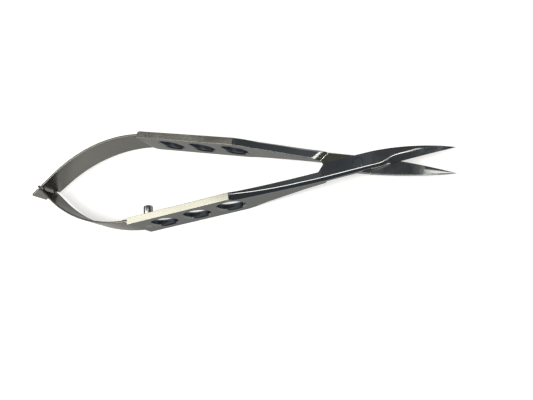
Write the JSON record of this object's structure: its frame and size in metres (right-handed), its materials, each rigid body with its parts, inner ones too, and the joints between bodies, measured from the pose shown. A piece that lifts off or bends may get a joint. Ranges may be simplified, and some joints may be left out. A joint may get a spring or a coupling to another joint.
{
  "type": "suture scissors",
  "caption": "Spring-handled suture scissors with curved blades, flat grips with oval openings and bowed leaf springs that meet behind the hand.",
  "frame": {"origin": "bottom centre of the bounding box of the open scissors, lying on their side", "axes": "+X towards the blade tips, +Z along the pivot screw, +Y towards the far half's handle"},
  "size_m": [0.1194, 0.0256, 0.01],
  "materials": {
    "half_steel": "polished",
    "leaf_steel": "satin",
    "screw_steel": "polished",
    "pin_steel": "turned"
  },
  "bodies": {
    "near_side": {"near_half": "half_steel", "pivot_screw": "screw_steel", "stop_pin": "pin_steel"},
    "far_side": {"far_half": "half_steel"},
    "near_spring": {"near_leaf": "leaf_steel"},
    "far_spring": {"far_leaf": "leaf_steel"}
  },
  "joints": [
    {"name": "blade_pivot", "type": "hinge", "parent": "near_side", "child": "far_side", "pos_m": [0.03906, 0, 0.005], "axis": [0, 0, 1], "range_deg": [0, 16.5], "stiffness_Nm_per_rad": 0.2},
    {"name": "near_leaf_bend", "type": "hinge", "parent": "near_side", "child": "near_spring", "pos_m": [-0.02182, -0.01184, 0.005], "axis": [0, 0, 1], "range_deg": [0, 23]},
    {"name": "far_leaf_bend", "type": "hinge", "parent": "far_side", "child": "far_spring", "pos_m": [-0.02182, 0.01184, 0.005], "axis": [0, 0, 1], "range_deg": [-23, 0]}
  ],
  "couplings": [
    {"joint": "near_leaf_bend", "follows": "blade_pivot", "ratio": 1.35},
    {"joint": "far_leaf_bend", "follows": "blade_pivot", "ratio": -1.35}
  ]
}
